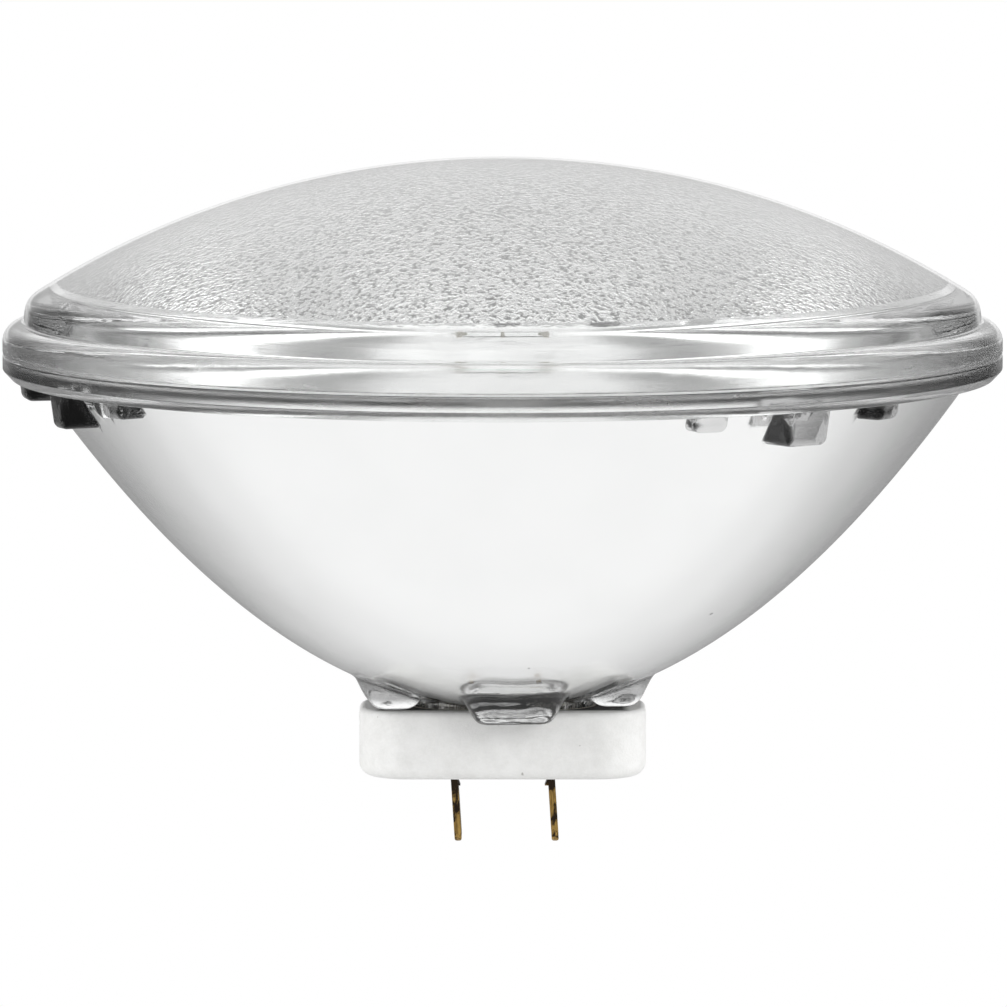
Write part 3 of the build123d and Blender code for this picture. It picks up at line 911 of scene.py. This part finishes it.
def whiteCeramic():
    # unglazed: fine grain, cloudy whiteness, a few dark specks; the top away from its edges carries painted
    # shade for the narrow gap under the bowl
    look = ceramicLook
    material, tree, shader, coords = newMaterial("whiteCeramic")
    mottle = noise(tree, coords, look["cloudScale"], detail=8.0, roughness=0.85)
    clouds = remap(tree, mottle, look["cloudFrom"], look["cloudTo"], 0.0, 1.0)
    body = blendColours(tree, clouds, look["pale"], look["dull"])
    dots = noise(tree, coords, look["speckScale"], detail=0.0)
    specks = remap(tree, dots, look["speckFrom"], look["speckTo"], 0.0, look["speckShare"])
    body = blendColours(tree, specks, body, look["speck"])
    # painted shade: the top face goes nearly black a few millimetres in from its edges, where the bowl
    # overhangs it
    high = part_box("ceramic_base")[1]
    place = axisParts(tree, coords)
    sideways = calc(tree, "SUBTRACT", high.x, calc(tree, "ABSOLUTE", place["X"]))
    forwards = calc(tree, "SUBTRACT", high.y, calc(tree, "ABSOLUTE", place["Y"]))
    fromEdge = calc(tree, "MINIMUM", sideways, forwards)
    inner = remap(tree, fromEdge, look["gapShadeFade"] * look["gapShadeInset"], look["gapShadeInset"], 0.0, 1.0)
    top = remap(tree, place["Z"], high.z - look["gapShadeFrom"], high.z - look["gapShadeTo"], 0.0, 1.0)
    body = blendColours(tree, calc(tree, "MULTIPLY", inner, top), body, look["paintedGapShade"])
    feed(tree, shader, "Base Color", body)
    grain = noise(tree, coords, 1 / look["grainPitch"], detail=3.0, roughness=0.6)
    roughen(tree, shader, grain, look["smooth"], look["rough"])
    bump(tree, shader, grain, look["grainDepth"])
    return material


def tarnishedBrass():
    # drawn along the blade, brown in drifts, and almost black where it leaves the ceramic
    look = brassLook
    material, tree, shader, coords = newMaterial("tarnishedBrass")
    shader.inputs["Metallic"].default_value = 1.0
    drawn = noise(tree, stretched(tree, coords, look["lineStretch"]), look["lineScale"])
    drifts = noise(
        tree, stretched(tree, coords, look["driftStretch"]), look["driftScale"], detail=4.0, roughness=0.65
    )
    lines = remap(tree, drawn, look["lineFrom"], look["lineTo"], 0.0, 1.0)
    body = blendColours(tree, lines, look["bright"], look["worn"])
    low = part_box("ceramic_base")[0]
    height = axisParts(tree, coords)["Z"]
    root = remap(tree, height, low.z - look["rootFrom"], low.z - look["rootTo"], 0.0, look["rootShare"])
    dark = remap(tree, calc(tree, "ADD", drifts, root), look["darkFrom"], look["darkTo"], 0.0, 1.0)
    feed(tree, shader, "Base Color", blendColours(tree, dark, body, look["tarnish"]))
    roughen(tree, shader, drifts, look["smooth"], look["rough"])
    bump(tree, shader, drawn, look["lineDepth"])
    return material


def drawnMetal(name, bright, dull, smooth, rough):
    # drawn rod and wire: lines along the length, a film of oxide in drifts
    look = wireLook
    material, tree, shader, coords = newMaterial(name)
    shader.inputs["Metallic"].default_value = 1.0
    lines = noise(tree, stretched(tree, coords, look["lineStretch"]), look["lineScale"])
    oxide = noise(tree, coords, look["filmScale"], detail=3.0, roughness=0.6)
    film = remap(tree, oxide, look["filmFrom"], look["filmTo"], 0.0, 1.0)
    feed(tree, shader, "Base Color", blendColours(tree, film, bright, dull))
    roughen(tree, shader, lines, smooth, rough)
    bump(tree, shader, lines, look["lineDepth"])
    return material


def greyCement():
    look = cementLook
    material, tree, shader, coords = newMaterial("greyCement")
    sand = noise(tree, coords, look["sandScale"], detail=3.0, roughness=0.7)
    feed(tree, shader, "Base Color", blendColours(tree, sand, look["dark"], look["pale"]))
    roughen(tree, shader, sand, look["smooth"], look["rough"])
    bump(tree, shader, sand, look["sandDepth"])
    return material


def beadGlass():
    material, tree, shader, coords = glassShader("beadGlass")
    shader.inputs["Base Color"].default_value = beadLook["tint"]
    bump(tree, shader, noise(tree, coords, beadLook["waveScale"]), beadLook["waveDepth"])
    return material


ceramic = whiteCeramic()
brass = tarnishedBrass()
nickel = drawnMetal("drawnNickel", **wireLook["nickel"])
tungsten = drawnMetal("drawnTungsten", **wireLook["tungsten"])
cement = greyCement()
bead = beadGlass()
finishes = {
    "ceramic_base": ceramic, "base_cement": cement, "contact_blade_left": brass, "contact_blade_right": brass,
    "ferrule_left": nickel, "ferrule_right": nickel, "lead_rod_left": nickel, "lead_rod_right": nickel,
    "filament_support": nickel, "bridge_bead": bead,
}
for name, material in finishes.items():
    setMaterials(nodes[name], material)
filamentPiece(tungsten)
print("ceramic, brass, wires and cement finished")

# Studio: floor, world, soft boxes and camera
studio = {
    "floorDrop": 60 * mm, "floorRadius": 0.9, "floorSides": 96, "floorShade": 0.72, "floorRough": 0.8,
    "shadowFrom": 0.10, "shadowTo": 0.17, "shadowWhite": 0.55,
    # brightness of the floor in reflections: along Y, then by the distance from the middle
    "glow": (
        (-0.02, 1.0), (0.0, 0.97), (0.02, 0.90), (0.05, 0.86), (0.07, 0.79), (0.09, 0.72),
        (0.11, 0.69), (0.15, 0.63), (0.20, 0.53), (0.25, 0.51), (0.30, 0.46), (0.36, 0.40),
    ),
    "glowEnd": ((0.5, 1.0), (0.6, 0.85)),
    # the sky's steps: upwards from 0 at the bottom to 1, or round from 0 at the back to 1 at the front
    "sky": (
        (0.0, 0.8), (0.455, 0.36), (0.5, 0.36), (0.52, 0.62), (0.63, 0.95), (0.75, 1.28),
        (0.943, 1.34), (0.95, 1.12), (1.0, 1.12),
    ),
    "flags": ((0.02, 1.0), (0.07, 0.14), (0.32, 0.14), (0.42, 1.0)),
    "flagTop": ((0.68, 0.0), (0.8, 1.0)),
    "gaps": ((0.28, 0.0), (0.36, 1.0), (0.70, 1.0), (0.80, 0.0)),
    "gapRise": ((0.84, 0.0), (0.865, 1.0), (0.94, 1.0), (0.948, 0.0)),
    "gapLevel": 0.3,
    "backlight": ((0.0, 0.55), (0.02, 0.55), (0.035, 0.0)),
    "backlightRise": ((0.462, 0.0), (0.475, 1.0), (0.52, 1.0), (0.54, 0.0)),
}


def paleFloor():
    mesh = bpy.data.meshes.new("paleFloor")
    shape = bmesh.new()
    bmesh.ops.create_circle(shape, cap_ends=True, segments=studio["floorSides"], radius=studio["floorRadius"])
    bmesh.ops.translate(shape, verts=shape.verts, vec=(0, 0, cadLow.z - studio["floorDrop"]))
    shape.to_mesh(mesh)
    shape.free()
    floor = newPiece("paleFloor", mesh)
    material, tree, shader, coords = newMaterial("paleFloor")
    shader.inputs["Base Color"].default_value = grey(studio["floorShade"])
    shader.inputs["Roughness"].default_value = studio["floorRough"]
    path = addNode(tree, "ShaderNodeLightPath")
    toCamera = path.outputs["Is Camera Ray"]
    mirrored = calc(tree, "MAXIMUM", path.outputs["Is Glossy Ray"], path.outputs["Is Transmission Ray"])
    far = vectorCalc(tree, "LENGTH", stretched(tree, coords, (1, 1, 0)), output=1)
    # the light falls off towards the back, as the bowl's mirror shows it
    backwards = calc(tree, "ADD", axisParts(tree, coords)["Y"], 0.5)
    fallOff = greyRamp(tree, backwards, [(0.5 + y, level) for y, level in studio["glow"]])
    glow = addNode(tree, "ShaderNodeEmission")
    feed(tree, glow, "Color", vectorCalc(tree, "MULTIPLY", fallOff, greyRamp(tree, far, studio["glowEnd"])))
    look = mixShaders(tree, mirrored, shader, glow)
    # white to the camera, but the shadow under the lamp stays
    bare = remap(tree, far, studio["shadowFrom"], studio["shadowTo"], studio["shadowWhite"], 1.0)
    white = addNode(tree, "ShaderNodeEmission")
    look = mixShaders(tree, calc(tree, "MULTIPLY", toCamera, bare), look, white)
    # from below the floor is looked through
    underside = addNode(tree, "ShaderNodeNewGeometry").outputs["Backfacing"]
    clear = addNode(tree, "ShaderNodeBsdfTransparent")
    showShader(tree, mixShaders(tree, calc(tree, "MULTIPLY", toCamera, underside), look, clear))
    setMaterials(floor, material)


def studioWorld():
    world = bpy.data.worlds.new("studio")
    bpy.context.scene.world = world
    world.use_nodes = True
    tree = world.node_tree
    toSky = addNode(tree, "ShaderNodeTexCoord").outputs["Generated"]
    flat = vectorCalc(tree, "NORMALIZE", stretched(tree, toSky, (1, 1, 0)))
    facing = calc(tree, "ADD", vectorCalc(tree, "DOT_PRODUCT", flat, (0, -0.5, 0), output=1), 0.5)
    height = calc(tree, "MULTIPLY_ADD", axisParts(tree, toSky)["Z"], 0.5, 0.5)

    def upwards(name):
        return greyRamp(tree, height, studio[name])

    def aroundIt(name):
        return greyRamp(tree, facing, studio[name])

    # dark flags stand to the sides behind the lamp, and end above it
    flags = blendColours(tree, upwards("flagTop"), aroundIt("flags"), grey(1))
    # dim gaps between the light overhead and the boxes at the sides
    gaps = calc(tree, "MULTIPLY", aroundIt("gaps"), upwards("gapRise"))
    dimmed = blendColours(tree, gaps, grey(1), grey(studio["gapLevel"]))
    lit = vectorCalc(tree, "MULTIPLY", upwards("sky"), vectorCalc(tree, "MULTIPLY", flags, dimmed))
    # a low strip right behind the lamp, which the dome's edge mirrors
    strip = vectorCalc(tree, "MULTIPLY", aroundIt("backlight"), upwards("backlightRise"))
    lit = vectorCalc(tree, "ADD", lit, strip)
    path = addNode(tree, "ShaderNodeLightPath")
    shown = blendColours(tree, path.outputs["Is Camera Ray"], lit, grey(1))
    feed(tree, tree.nodes["Background"], "Color", shown)


# soft boxes: metres, and brightness; the fills and the key light the lamp but aren't mirrored in it
box = {"distance": 1.2, "width": 0.44, "height": 0.38, "level": 1.25}
fill = {"distance": 1.4, "width": 0.5, "height": 0.9, "reflected": False}
boxes = {
    "leftBox": {"towards": (-0.72, 0.35, 0.59), **box},
    "rightBox": {"towards": (0.72, 0.35, 0.59), **box},
    "leftFill": {"towards": (-0.99, -0.05, 0.05), "level": 6.8, **fill},
    "rightFill": {"towards": (0.99, -0.05, 0.05), "level": 4.4, **fill},
    "frontKey": {
        "towards": (0.45, -0.82, 0.35), "distance": 1.8, "width": 0.5, "height": 0.5, "level": 7.2,
        "reflected": False,
    },
}


def softbox(name, towards, distance, width, height, level, reflected=True):
    data = bpy.data.lights.new(name, "AREA")
    data.shape = "RECTANGLE"
    data.size = width
    data.size_y = height
    data.energy = level * math.pi * width * height
    lamp = newPiece(name, data)
    lamp.location = Vector(towards).normalized() * distance
    lamp.rotation_mode = "QUATERNION"
    lamp.rotation_quaternion = lamp.location.to_track_quat("Z", "Y")
    lamp.visible_camera = False
    lamp.visible_glossy = lamp.visible_transmission = reflected


camera = {
    "distance": 1.6, "elevation": 5.07, "aim": (0.16 * mm, 0, -27.4 * mm),
    "lens": 320.9, "sensor": 36, "clip": (0.05, 20),
}


def photoCamera():
    data = bpy.data.cameras.new("photoCamera")
    data.lens = camera["lens"]
    data.sensor_width = camera["sensor"]
    data.clip_start, data.clip_end = camera["clip"]
    view = newPiece("photoCamera", data)
    e = math.radians(camera["elevation"])
    view.location = Vector((0, -math.cos(e), math.sin(e))) * camera["distance"]
    view.rotation_mode = "QUATERNION"
    view.rotation_quaternion = (Vector(camera["aim"]) - view.location).to_track_quat("-Z", "Y")
    bpy.context.scene.camera = view


# light finds its way out of the thick rim only after many turns
bounces = {
    "max_bounces": 24, "glossy_bounces": 14, "transmission_bounces": 24, "transparent_max_bounces": 16,
}
paleFloor()
studioWorld()
for name, settings in boxes.items():
    softbox(name, **settings)
photoCamera()
bpy.context.scene.view_settings.view_transform = "Standard"
for name, value in bounces.items():
    setattr(bpy.context.scene.cycles, name, value)
print("studio and camera set")
